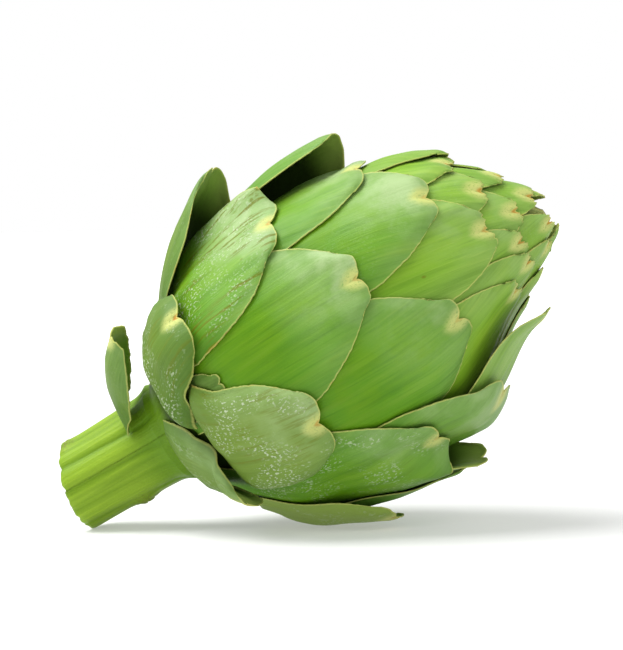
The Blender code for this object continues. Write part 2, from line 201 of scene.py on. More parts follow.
def turning(name: str, rings: Grid, marks: dict[str, Grid]) -> Solid:
    """Close a stack of rings into a solid, with a flat face at each end.

    Args:
        name: Name of the piece.
        rings: Points, rings by sides by 3.
        marks: Finish values at each point.

    Returns:
        The closed solid.
    """
    rows, sides = rings.shape[:2]
    caps = [list(range(sides)), [rows * sides - 1 - j for j in range(sides)]]
    flat = {title: values.reshape((-1,) + values.shape[2:]) for title, values in marks.items()}
    return Solid(name, rings, quads(rows, sides, wrap=True), caps, flat)


def shell(name: str, outer: Grid, thickness: Grid, outward: Grid, marks: dict[str, Grid]) -> Solid:
    """Close a curved sheet into a thin solid.

    The inner face lies below the outer one by the thickness, measured along the sheet's own
    normal, and a strip of quads joins the two all the way round.

    Args:
        name: Name of the piece.
        outer: Points of the outer face, rows by columns by 3.
        thickness: Thickness at each point.
        outward: Rough outward direction at each point.
        marks: Finish values at each point; "leaf_side" is added here.

    Returns:
        The closed solid.
    """
    rows, columns = thickness.shape
    normal = np.cross(np.gradient(outer, axis=0), np.gradient(outer, axis=1))
    normal /= np.maximum(np.linalg.norm(normal, axis=-1, keepdims=True), 1e-12)
    turned = np.sign((normal * outward).sum(axis=-1).mean())
    inner = outer - turned * normal * thickness[..., None]
    inner[..., 2] = np.maximum(inner[..., 2], 0.25 * MM)
    count = rows * columns
    front = quads(rows, columns)
    if turned < 0:
        front = front[:, ::-1]
    back = front[:, ::-1] + count
    ring = np.concatenate([np.arange(columns), np.arange(1, rows) * columns + columns - 1,
                           count - 2 - np.arange(columns - 1),
                           (rows - 2 - np.arange(rows - 2)) * columns])
    after = np.roll(ring, -1)
    rim = np.stack([ring, ring + count, after + count, after], axis=1)
    if turned > 0:
        rim = rim[:, ::-1]
    both = {title: np.concatenate([values.reshape((count,) + values.shape[2:])] * 2)
            for title, values in marks.items()}
    both["leaf_side"] = np.repeat([1.0, 0.0], count)
    points = np.concatenate([outer.reshape(-1, 3), inner.reshape(-1, 3)])
    return Solid(name, points, np.concatenate([front, back, rim]), marks=both)


# ---------------------------------------------------------------- the bud and its layers


@dataclass
class BudShape:
    """The closed bud as a solid of turning, with a solid heart beneath its leaves."""

    tilt: float = math.radians(28.0)
    foot: tuple[float, float, float] = (-0.04269, -0.00282, 0.02935)
    steps: int = 480
    outline: tuple = ((0, 14.8), (3, 20), (6, 25), (10.5, 31), (15, 36), (19.5, 40.5), (24, 44),
                      (31, 46.5), (42, 47.5), (54, 47.5), (70, 46), (85, 42.5), (96, 38.5),
                      (105.6, 33.5), (115, 26.5), (119.6, 22.5), (125, 17.5), (130, 13.8),
                      (134, 10.5), (138, 7), (140, 5))
    depth: tuple = ((0, 0.8), (6, 1.8), (12, 3.5), (20, 5.9), (30, 8.2), (42, 9.1), (60, 9.9),
                    (75, 9.3), (90, 8.2), (106, 6.9), (120, 6.1), (133, 5.4), (144, 4.6),
                    (155, 4.3), (164, 4.4))
    lean: float = 0.2
    lean_rest: float = 0.5
    lean_from: float = 84.0
    lean_full: float = 114.0

    def __post_init__(self) -> None:
        """Work out the evenly spaced outline, its directions and the heart beneath it."""
        line = np.array(self.outline, dtype=float) * MM
        for _ in range(2):
            length = np.r_[0.0, np.cumsum(np.linalg.norm(np.diff(line, axis=0), axis=1))]
            even = np.linspace(0.0, length[-1], self.steps)
            line = np.stack([np.interp(even, length, side) for side in line.T], axis=1)
            for _ in range(240):
                line[1:-1] = 0.25 * line[:-2] + 0.5 * line[1:-1] + 0.25 * line[2:]
        self.line = line
        self.step = float(np.linalg.norm(np.diff(line, axis=0), axis=1).mean())
        self.s_grid = np.arange(self.steps) * self.step
        along = np.gradient(line, axis=0)
        along /= np.linalg.norm(along, axis=1, keepdims=True)
        self.normal = np.stack([-along[:, 1], along[:, 0]], axis=1)
        knots, values = np.array(self.depth, dtype=float).T * MM
        rounded = soft_curve(knots, values, 9 * MM)(self.s_grid)
        self.core = line - rounded[:, None] * self.normal

    def read(self, values: Grid, s: Grid) -> Grid:
        """Return a column of outline values read at distances s."""
        return np.interp(s, self.s_grid, values)

    def distance(self, axial: float) -> float:
        """Return the distance along the outline at which the bud reaches a height."""
        return float(np.interp(axial, self.line[:, 0], self.s_grid))

    def place(self, s: Grid, theta: Grid, h: Grid) -> Grid:
        """Return points of the bud frame: the heart's point at s plus h along the normal.

        Towards the crown the radius grows by lean times the sine of the angle, so the crown
        is fuller on its upper side and slimmer below.

        Args:
            s: Distances along the outline.
            theta: Angles round the axis.
            h: Heights above the heart.

        Returns:
            Points, stacked on a last axis of three.
        """
        axial = self.read(self.core[:, 0], s) + h * self.read(self.normal[:, 0], s)
        radius = self.read(self.core[:, 1], s) + h * self.read(self.normal[:, 1], s)
        radius = radius * self.leaning(axial, theta)
        return np.stack([axial, radius * np.cos(theta), radius * np.sin(theta)], axis=-1)

    def leaning(self, axial: Grid, theta: Grid) -> Grid:
        """Return how much fuller the bud is at a place than a plain turning, 1 for alike."""
        fuller = self.lean * fade(axial / MM, self.lean_from, self.lean_full)
        return 1 + fuller * (np.sin(theta) - self.lean_rest)

    def turned(self, vectors: Grid) -> Grid:
        """Return directions of the bud frame turned to the row's frame."""
        c, s = math.cos(self.tilt), math.sin(self.tilt)
        return np.stack([vectors[..., 0] * c - vectors[..., 2] * s, -vectors[..., 1],
                         vectors[..., 0] * s + vectors[..., 2] * c], axis=-1)

    def to_row(self, points: Grid) -> Grid:
        """Return points of the bud frame in the row's frame, none of them below the floor."""
        moved = self.turned(points) + np.array(self.foot)
        moved[..., 2] = np.maximum(moved[..., 2], 0.0)
        return moved


@dataclass
class Layers:
    """Height of everything laid so far, on a grid of outline distance by angle."""

    bud: BudShape
    turns: int = 480

    def __post_init__(self) -> None:
        """Start with the bare heart."""
        self.field = np.zeros((self.bud.steps, self.turns))

    def cells(self, s: Grid, theta: Grid) -> tuple[Grid, Grid]:
        """Return fractional rows and columns of the field for places on the bud."""
        rows = np.clip(s / self.bud.step, 0, self.bud.steps - 1.001)
        return rows, (theta / (2 * math.pi) * self.turns) % self.turns

    def read(self, s: Grid, theta: Grid) -> Grid:
        """Return the height at places on the bud, blended between the grid's cells."""
        rows, columns = self.cells(s, theta)
        row = rows.astype(int)
        column = columns.astype(int) % self.turns
        after = (column + 1) % self.turns
        part_r = rows - row
        part_c = columns - np.floor(columns)
        low = self.field[row, column] * (1 - part_c) + self.field[row, after] * part_c
        high = self.field[row + 1, column] * (1 - part_c) + self.field[row + 1, after] * part_c
        return low * (1 - part_r) + high * part_r

    def add(self, s: Grid, theta: Grid, top: Grid) -> None:
        """Raise the field to a sheet's outer face where that is higher.

        Args:
            s: Outline distances of the sheet's points.
            theta: Their angles.
            top: Heights of the outer face.
        """
        rows, columns = self.cells(finer(s, 4), finer(theta, 4))
        layer = np.zeros_like(self.field)
        index = (np.rint(rows).astype(int).ravel() % self.bud.steps,
                 np.rint(columns).astype(int).ravel() % self.turns)
        np.maximum.at(layer, index, finer(top, 4).ravel())
        for axis in (0, 1):
            layer = np.maximum(layer, np.maximum(np.roll(layer, 1, axis), np.roll(layer, -1, axis)))
        self.field = np.maximum(self.field, layer)


# ---------------------------------------------------------------- leaves


# Sizes that all leaves share, in millimetres unless they are shares of the half width
FULL_HALF_WIDTH = 28.0
FINE_GRID, PLAIN_GRID, FINE_FROM = (66, 45), (46, 31), 15.5
LOBE_DEPTH, LOBE_MIDDLE, LOBE_REACH = 3.4, 0.5, 0.545
CORNER_DROP, CORNER_FROM = 3.52, 0.75
TIP_LENGTH, FOOT_LENGTH = 13.0, 15.0
FOOT_BY_TIP = ((23, 50, 90, 131), (1.5, 7, 22, 44))
SHOULDER = ((0, 0.12, 0.3, 0.6, 1.0, 1.35, 3), (0.29, 0.39, 0.52, 0.71, 0.92, 1, 1))
SHOULDER_LENGTH = 0.95
FOOT_KNOTS = (0, 12, 28, 48, 150)
SETTLING_ROUNDS, EVENING_ROUNDS = 90, 3
# How strongly painted shade darkens the inner face of each leaf
HOLLOW_SHADE = 0.9


@dataclass(frozen=True)
class Marks:
    """How strongly one leaf shows each kind of marking, each from 0 to 1."""

    flecks: float = 0.05
    streaks: float = 0.05
    # How strongly the leaf shows waxy bloom together with the painted sheen laid with it
    bloom_and_sheen: float = 0.75
    light: float = 0.0
    burn: float = 0.3


def finish_marks(across: Grid, from_tip: Grid, seed: float, edge: Grid, marks: Marks,
                 hollow: float) -> dict[str, Grid]:
    """Gather what a leaf's finish reads at each point of its sheet. Lengths in millimetres.

    Args:
        across: Distances from the middle line.
        from_tip: Distances from the tip.
        seed: Number that sets the leaf's patterns apart.
        edge: Distances from the nearest edge.
        marks: How strongly each marking shows.
        hollow: How strongly painted shade darkens the inner face away from the tip, 0 to 1.

    Returns:
        Values by attribute name.
    """
    shape = across.shape + (3,)
    return {
        "leaf_place": np.stack([across, from_tip, np.full_like(across, seed)], axis=-1),
        "leaf_edge": edge,
        "leaf_marks": np.broadcast_to([marks.flecks, marks.streaks, marks.bloom_and_sheen], shape),
        "leaf_tone": np.broadcast_to([marks.light, marks.burn, hollow], shape),
    }


@dataclass
class Leaf:
    """One leaf of the bud: where it sits, how it opens and its relief. Lengths in millimetres."""

    name: str
    angle: float
    foot_turn: float
    tip: float
    widest: float
    flare: float
    flare_length: float
    cup: float = 0.35
    belly: float = 0.0
    foot_width: float = 0.42
    foot: float = 0.0
    full: float = 1.0
    slant: float = 0.0
    rounding: float = 0.0
    bend: float = 1.4
    twist: float = 0.0
    hood: float = 0.0
    ragged: float = 0.0
    crease: float = 0.7
    marks: Marks = Marks()
    gap: float = 0.25
    thickness: float = 1.15
    margin: float = 0.32

    def __post_init__(self) -> None:
        """Pick the grid's fineness by the leaf's size, and a number that sets it apart."""
        self.rows, self.columns = FINE_GRID if self.widest > FINE_FROM else PLAIN_GRID
        self.seed = (self.angle * 0.37 + self.tip * 1.13) % 7.0
        self.size = math.sqrt(self.widest / FULL_HALF_WIDTH)

    @property
    def slot(self) -> Slot:
        """Return the material slot, by the height of the tip."""
        if self.tip < 58:
            return Slot.OUTER
        return Slot.MIDDLE if self.tip < 112 else Slot.CROWN

    def tip_line(self, v: Grid) -> Grid:
        """Return how far the tip's edge lies behind its foremost points, in metres.

        Two round lobes, centred half way to each side, meet in a narrow cleft on the middle
        line: depth times (1 - the height of a circle arc), plus a drop at the outer corners.

        Args:
            v: Places across the leaf, -1 to 1.

        Returns:
            Distances in metres.
        """
        arc = 1 - np.sqrt(np.clip(1 - ((np.abs(v) - LOBE_MIDDLE) / LOBE_REACH) ** 2, 0, 1))
        corner = np.clip(np.abs(v) - CORNER_FROM, 0, 1)
        uneven = 0.25 * ripple(v, 0.9, self.seed) + self.ragged * ripple(v, 0.37, self.seed + 2)
        return self.size * MM * (LOBE_DEPTH * arc + CORNER_DROP * corner + uneven)

    def outline(self, bud: BudShape) -> tuple[Grid, Grid, Grid, Grid, Grid]:
        """Lay the leaf's grid on the bud.

        Rows crowd together towards the tip and columns towards both edges.  The half width is
        the widest half width times a shoulder curve of the distance from the tip times a foot
        curve of the distance from the foot.

        Args:
            bud: The bud's shape.

        Returns:
            Outline distance, angle, distance across, distance from the tip and distance from
            the nearest edge, each a grid.
        """
        s_tip = bud.distance(self.tip * MM)
        s_base = (self.foot or float(np.interp(self.tip, *FOOT_BY_TIP))) * MM
        r = np.linspace(0, 1, self.rows)
        rows = (s_tip - (s_tip - s_base) * (1 - r) ** 1.35)[:, None]
        t = np.linspace(-1, 1, self.columns)
        v = (t * (1 + 0.35 * (1 - t * t)))[None, :]
        from_tip = s_tip - rows
        widest = self.widest * MM
        shoulder = soft_curve(*SHOULDER, 0.3)(from_tip / (SHOULDER_LENGTH * widest)) ** self.full
        foot = self.foot_width
        foot_widths = [foot, 0.3 + 0.7 * foot ** 1.2, 0.85 + 0.15 * foot ** 3, 1, 1]
        narrow = soft_curve(FOOT_KNOTS, foot_widths, 8)((rows - s_base) / MM)
        half = widest * shoulder * narrow
        half = half + 0.16 * MM * ripple(rows / MM, 3.1, self.seed) * np.sign(v) * np.abs(v) ** 6
        tip_drop = self.tip_line(v) + self.slant * MM * v
        s = rows - tip_drop * np.clip(1 - from_tip / (TIP_LENGTH * MM), 0, 1)
        near_foot = np.clip(1 - (rows - s_base) / (FOOT_LENGTH * MM), 0, 1)
        s = s + self.rounding * MM * np.abs(v) ** 2.5 * near_foot
        lean = math.radians(self.foot_turn) * from_tip / (s_tip - s_base)
        theta = math.radians(self.angle) + lean + v * half / bud.read(bud.line[:, 1], rows)
        across = v * half
        edge = np.minimum((1 - np.abs(v)) * half * 0.85, from_tip * (1 - 0.1 * np.abs(v)))
        return s, theta, across, from_tip + 0 * v, edge

    def drape(self, layers: Layers, s: Grid, theta: Grid) -> Grid:
        """Return the underside's heights: a stiff sheet let down on the layers beneath.

        The sheet starts on the ground and is averaged again and again, never sinking below
        the ground, so it bridges the steps between the leaves under it.

        Args:
            layers: Heights of everything beneath.
            s: Outline distances.
            theta: Angles.

        Returns:
            Heights of the underside.
        """
        ground = layers.read(s, theta) + self.gap * MM
        sheet = ground
        for _ in range(SETTLING_ROUNDS):
            sheet = np.maximum(evened(sheet), ground)
        for _ in range(EVENING_ROUNDS):
            sheet = evened(sheet)
        return sheet

    def relief(self, across: Grid, from_tip: Grid, edge: Grid) -> Grid:
        """Return the outer face's own relief above the smooth sheet.

        Low waves, two swollen lobes with a fold between them that fades inwards, and a thin
        lip along the margin.

        Args:
            across: Distances from the middle line.
            from_tip: Distances from the tip.
            edge: Distances from the nearest edge.

        Returns:
            Heights to add.
        """
        waves = 0.22 * ripple(from_tip / MM + 0.4 * across / MM, 31.0, self.seed)
        waves = waves + 0.16 * ripple(across / MM, 17.0, self.seed + 1)
        fold = 1 - np.exp(-np.abs(across) / (1.3 * MM * self.size))
        lobes = self.crease * fold * np.exp(-from_tip / (7 * MM * self.size))
        lobes = lobes * fade(edge / MM, -0.2, 2.0)
        lip = 0.18 * np.exp(-edge / (0.8 * MM))
        keel = 0.35 * np.exp(-(across / (3.5 * MM)) ** 2) * fade(from_tip / MM, 6, 18)
        return MM * (waves * fade(edge / MM, 0, 4) + lobes + lip + keel)

    def build(self, bud: BudShape, layers: Layers, material: bpy.types.Material) -> bpy.types.Object:
        """Lay the leaf on the bud and add it to the scene.

        Args:
            bud: The bud's shape.
            layers: Heights of everything beneath, raised by this leaf.
            material: The leaf's finish.

        Returns:
            The leaf's object.
        """
        s, theta, across, from_tip, edge = self.outline(bud)
        under = self.drape(layers, s, theta)
        slope = np.clip(np.gradient(under, axis=0) / np.gradient(s, axis=0), -2, 2)
        thick = MM * (self.margin + (self.thickness - self.margin) * fade(edge / MM, 0, 4.5))
        room = np.minimum(bud.leaning(bud.read(bud.line[:, 0], s), theta), 1.0)
        top = under + thick * np.sqrt(1 + slope ** 2) / room + self.relief(across, from_tip, edge)
        ease = np.clip(1 - (bud.distance(self.tip * MM) - s) / (self.flare_length * MM), 0, 1)
        v = np.linspace(-1, 1, self.columns)[None, :]
        hooded = abs(self.hood) * (v * self.hood > 0)
        lift = self.flare * (1 - (self.cup + hooded) * v ** 2) + self.twist * v
        top = top + lift * MM * ease ** self.bend
        from_foot = (s - s.min()) / MM
        swell = fade(from_tip / MM, -4, 14) * fade(from_foot, -3, 9) * (1 - v ** 2)
        top = top + self.belly * MM * swell
        layers.add(s, theta, top)
        place = bud.to_row(bud.place(s, theta, top))
        outward = bud.turned(bud.place(s, theta, top + MM) - bud.place(s, theta, top))
        finish = finish_marks(across / MM, from_tip / MM, self.seed * 9, edge / MM, self.marks,
                              HOLLOW_SHADE)
        return shell("leaf_" + self.name, place, thick, outward, finish).build(material)


# Leaves, outermost first: name, angle of the tip, turn of the foot, tip along the axis,
# half width, flare and the length it takes
LEAVES = [
    ("low_front", -46, 24, 21.5, 17, 4.5, 18),
    ("low_back", 150, 4, 27, 17, 2, 12),
    ("low_under", -134, -6, 27, 17, 1, 12),
    ("collar_front", 35, -9, 31.5, 26, 2, 18),
    ("collar_back", -168, 8, 34, 19, 2, 14),
    ("collar_top", 108, 2, 37, 19, 2, 14),
    ("foot_front", -85, 0, 50.5, 24, 5, 28),
    ("foot_back", -130, 3, 49, 20, 2, 22),
    ("belly_back", 164, -3, 49, 27, 1, 16),
    ("belly_front", -28, 8, 54, 33, 0.5, 16),
    ("belly_top", 86, -14, 52.5, 23, 11.5, 44),
    ("collar_side", 4, 2, 32, 16, 0, 12),
    ("belly_rear", 128, 3, 60, 27, 2, 18),
    ("belly_side", -156, -2, 63, 27, 0.5, 16),
    ("waist_top", 53, -6.5, 67, 31, 0.5, 14),
    ("waist_under", -108, 2, 71, 27, 2, 20),
    ("waist_rear", 170, 3, 74, 27, 0.5, 16),
    ("waist_front", -65, 2, 77, 28, 1, 24),
    ("mid_front", 13, -4, 84.5, 28, 0.3, 14),
    ("mid_side", -140, -3, 83, 27, 1, 16),
    ("mid_under", -96, 3, 78.5, 23, 7, 44),
    ("high_top", 90, 2, 86, 17, 10, 56),
    ("mid_rear", 140, 2, 87, 27, 1, 16),
    ("high_ridge", 71, 2, 94, 28, 0.5, 16),
    ("high_under", -75, -2, 96, 26, 3.5, 30),
    ("high_side", -168, 2, 96, 26, 0.5, 16),
    ("high_back", -118, -3, 99, 25, 1, 16),
    ("high_front", -26, 3, 101.5, 27, 0.3, 14),
    ("neck_rear", 122, 2, 103, 24, 0.5, 14),
    ("neck_side", 160, -3, 106, 24, 0.5, 14),
    ("neck_back", -146, 3, 108, 23, 0.5, 14),
    ("neck_top", 39, -2, 109.5, 25, 0.3, 12),
    ("neck_under", -73, -20, 114, 14.5, 11, 46),
    ("neck_far", -116, -3, 115, 19, 0.5, 12),
    ("neck_front", -49, 2, 116.5, 19, 0.3, 12),
    ("neck_ridge", 96, -3, 115, 19, 0.5, 12),
    ("crown_top", 75, -3, 116.5, 21, 0.3, 12),
    ("crown_rear", 138, 2, 118.5, 18, 0.3, 10),
    ("crown_front", 11, 3, 119.5, 18, 0.2, 10),
    ("crown_side", -172, 2, 119.5, 17, 0.3, 10),
    ("crown_back", -140, -2, 122, 15, 0.2, 10),
    ("inner_rear", 112, 3, 123, 14, 0.3, 9),
    ("inner_ridge", 45, -2, 122.5, 13, 0.3, 8),
    ("inner_front", -39, 2, 124, 13, 0.3, 8),
    ("inner_under", -92, -3, 124, 13, 0.3, 8),
    ("inner_side", 160, 3, 125, 12, 0.4, 8),
    ("inner_near", -14, 2, 126, 12, 0.3, 8),
    ("inner_top", 76, 3, 127.5, 12.5, 0.3, 8),
    ("tip_front", 22, -2, 129, 12.5, 0.2, 6),
    ("tip_side", -165, 2, 131, 12.5, 0.2, 6),
    ("tip_rear", 130, 2, 131, 12.5, 0.2, 6),
    ("tip_under", -65, -2, 131.5, 12.5, 0.2, 6),
    ("tip_ridge", 52, 2, 134.5, 12.5, 0.2, 5),
    ("tip_near", -22, -2, 136, 12, 0.2, 5),
    ("tip_back", -115, 2, 136, 12, 0.2, 5),
    ("tip_top", 97, -2, 136.5, 12, 0.2, 5),
]

# Shapes of the leaves that differ from a plain one
LEAF_SHAPES = {
    "low_front": {"cup": 0.2, "belly": 5.0, "foot_width": 0.7, "foot": 8.0, "full": 0.7},
    "collar_front": {"cup": 0.5, "belly": 6.0, "foot_width": 0.72, "foot": 18.0, "full": 0.5,
                     "slant": 2.0, "rounding": 6.0},
    "collar_side": {"foot": 24.0},
    "belly_front": {"belly": 3.5, "foot_width": 0.6, "foot": 28.0, "full": 0.85, "slant": -1.8,
                    "rounding": 7.0},
    "foot_front": {"cup": 0.2, "foot_width": 0.5, "foot": 24.0},
    "belly_top": {"cup": 0.1, "bend": 2.1, "hood": 0.9},
    "high_top": {"cup": 0.1, "full": 0.6, "bend": 0.8, "hood": 0.9},
    "high_ridge": {"full": 0.65},
    "waist_top": {"full": 0.8, "slant": -1.5},
    "mid_under": {"cup": 0.0, "twist": 3.0},
    "neck_under": {"cup": 0.0, "twist": 1.5},
    "high_under": {"full": 0.8},
}

# Markings of the leaves that differ from their neighbours
LEAF_MARKS = {
    "low_front": Marks(0.3, 0.3, 0.5, 0.05, 0.7),
    "low_back": Marks(0.4, 0.3, 0.6, 0.0, 0.6),
    "low_under": Marks(0.5, 0.2, 0.6, 0.0, 0.5),
    "collar_front": Marks(0.9, 0.6, 0.2, -0.2, 0.9),
    "collar_back": Marks(0.5, 0.2, 0.6, 0.0, 0.5),
    "collar_top": Marks(0.3, 0.2, 0.5, 0.0, 0.5),
    "collar_side": Marks(0.1, 0.1, 0.1, -0.2, 0.0),
    "foot_front": Marks(0.9, 0.1, 1.6, 0.5, 0.6),
    "foot_back": Marks(0.6, 0.3, 0.6, 0.0, 0.6),
    "belly_back": Marks(0.5, 0.4, 0.5, 0.0, 0.5),
    "belly_front": Marks(1.0, 0.7, 0.9, 0.15, 0.6),
    "belly_top": Marks(0.2, 0.1, 0.6, 0.0, 0.5),
    "belly_side": Marks(0.5, 0.5, 0.4, 0.0, 0.4),
    "waist_top": Marks(0.6, 1.3, 1.5, 0.0, 0.6),
    "waist_front": Marks(0.6, 0.15, 0.7, -0.05, 0.3),
    "waist_under": Marks(0.4, 0.3, 0.4, 0.0, 0.4),
    "mid_front": Marks(0.0, 0.1, 1.1, 0.0, 0.4),
    "high_top": Marks(0.0, 0.05, 0.6, 0.0, 0.5),
    "high_ridge": Marks(0.0, 0.05, 1.4, 0.0, 0.5),
    "neck_top": Marks(0.05, 0.05, 1.2, 0.05, 0.4),
    "high_front": Marks(0.0, 0.1, 0.6, -0.05, 0.3),
    "neck_front": Marks(0.0, 0.05, 0.2, 0.0, 0.5),
    "crown_front": Marks(0.0, 0.05, 0.5, 0.0, 0.6),
}


# ---------------------------------------------------------------- shader nodes


def operator(operation: str) -> Callable[["Value", "Number"], "Value"]:
    """Return the method that stands behind one arithmetic sign of a shader number."""
    def method(self: "Value", other: "Number") -> "Value":
        """Return the result, from a Math node."""
        return self.math(operation, self, other)
    return method


class Value:
    """A shader number; arithmetic on it adds Math nodes."""

    __add__ = __radd__ = operator("ADD")
    __mul__ = __rmul__ = operator("MULTIPLY")
    __sub__ = operator("SUBTRACT")
    __truediv__ = operator("DIVIDE")
    __pow__ = operator("POWER")

    def __init__(self, graph: "Graph", socket: bpy.types.NodeSocket) -> None:
        """Keep the graph and the output socket that carries the number."""
        self.graph = graph
        self.socket = socket

    def math(self, operation: str, *terms: "Number") -> "Value":
        """Return a new value from a Math node with the given terms."""
        return self.graph.value("ShaderNodeMath", {"operation": operation}, dict(enumerate(terms)))

    def clamp(self) -> "Value":
        """Return the value kept between 0 and 1."""
        return self.math("MINIMUM", self.math("MAXIMUM", self, 0.0), 1.0)

    def ramp(self, low: float, high: float) -> "Value":
        """Return 0 at low and 1 at high with a smooth S between; high may be the lower."""
        return self.graph.value("ShaderNodeMapRange", {"interpolation_type": "SMOOTHSTEP"},
                                {"Value": self, "From Min": low, "From Max": high})


Number = Union[Value, float]


class Graph:
    """The node tree of one material, with short ways to add to it."""

    def __init__(self, name: str) -> None:
        """Start a material with one Principled shader."""
        self.material = bpy.data.materials.new(name)
        self.material.use_nodes = True
        self.tree = self.material.node_tree
        self.shader = self.tree.nodes["Principled BSDF"]

    def node(self, kind: str, settings: dict[str, object],
             inputs: dict[object, object]) -> bpy.types.Node:
        """Add a node.

        Args:
            kind: The node's type.
            settings: Values of its own properties, set first.
            inputs: Values or links of its sockets, by name or number.

        Returns:
            The node.
        """
        made = self.tree.nodes.new(kind)
        for key, setting in settings.items():
            setattr(made, key, setting)
        for key, given in inputs.items():
            self.feed(made.inputs[key], given)
        return made

    def feed(self, socket: bpy.types.NodeSocket, given: object) -> None:
        """Link or set one input socket."""
        if isinstance(given, Value):
            self.tree.links.new(given.socket, socket)
        elif isinstance(given, bpy.types.NodeSocket):
            self.tree.links.new(given, socket)
        elif isinstance(given, tuple) and len(socket.default_value) == 4:
            socket.default_value = (*given, 1.0)
        else:
            socket.default_value = given

    def value(self, kind: str, settings: dict[str, object], inputs: dict[object, object],
              output: Union[int, str] = 0) -> Value:
        """Add a node and return one of its outputs as a value."""
        return Value(self, self.node(kind, settings, inputs).outputs[output])

    def mark(self, title: str) -> tuple[Value, Value, Value]:
        """Return the three numbers of a vector attribute."""
        vector = self.node("ShaderNodeAttribute", {"attribute_name": title}, {}).outputs["Vector"]
        return self.split(vector)

    def split(self, vector: bpy.types.NodeSocket) -> tuple[Value, Value, Value]:
        """Return the three numbers of a vector."""
        parts = self.node("ShaderNodeSeparateXYZ", {}, {0: vector}).outputs
        return Value(self, parts[0]), Value(self, parts[1]), Value(self, parts[2])

    def number(self, title: str) -> Value:
        """Return a number attribute."""
        return self.value("ShaderNodeAttribute", {"attribute_name": title}, {}, "Fac")

    def vector(self, x: Number, y: Number, z: Number) -> bpy.types.NodeSocket:
        """Return a vector of three numbers."""
        return self.node("ShaderNodeCombineXYZ", {}, {0: x, 1: y, 2: z}).outputs[0]

    def noise(self, place: bpy.types.NodeSocket, detail: float, rough: float = 0.5,
              scale: float = 1.0) -> Value:
        """Return soft noise of about 0.5 at a place."""
        return self.value("ShaderNodeTexNoise", {}, {"Vector": place, "Scale": scale,
                                                     "Detail": detail, "Roughness": rough}, "Fac")

    def cells(self, place: bpy.types.NodeSocket) -> tuple[Value, Value]:
        """Return the distance to the nearest scattered point and that point's own number."""
        node = self.node("ShaderNodeTexVoronoi", {}, {"Vector": place, "Scale": 1.0})
        split = self.node("ShaderNodeSeparateColor", {}, {0: node.outputs["Color"]})
        return Value(self, node.outputs["Distance"]), Value(self, split.outputs[0])

    def blend(self, base: object, over: object, amount: Number) -> bpy.types.NodeSocket:
        """Return a colour between two, by an amount from 0 to 1."""
        made = self.node("ShaderNodeMix", {"data_type": "RGBA"}, {0: amount, 6: base, 7: over})
        return made.outputs[2]

    def layers(self, base: object, *over: tuple[object, Number]) -> bpy.types.NodeSocket:
        """Return a base colour with others laid over it in turn, each by its own amount."""
        for colour, amount in over:
            base = self.blend(base, colour, amount)
        return base

    def finish(self, colour: bpy.types.NodeSocket, roughness: Number, height: Value,
               depth: float) -> bpy.types.Material:
        """Join colour, roughness and a bump of the given depth in metres to the shader."""
        bump = self.node("ShaderNodeBump", {}, {"Strength": 1.0, "Distance": depth, "Height": height})
        self.shader.inputs["Specular IOR Level"].default_value = 0.15
        self.feed(self.shader.inputs["Base Color"], colour)
        self.feed(self.shader.inputs["Roughness"], roughness)
        self.feed(self.shader.inputs["Normal"], bump.outputs[0])
        return self.material


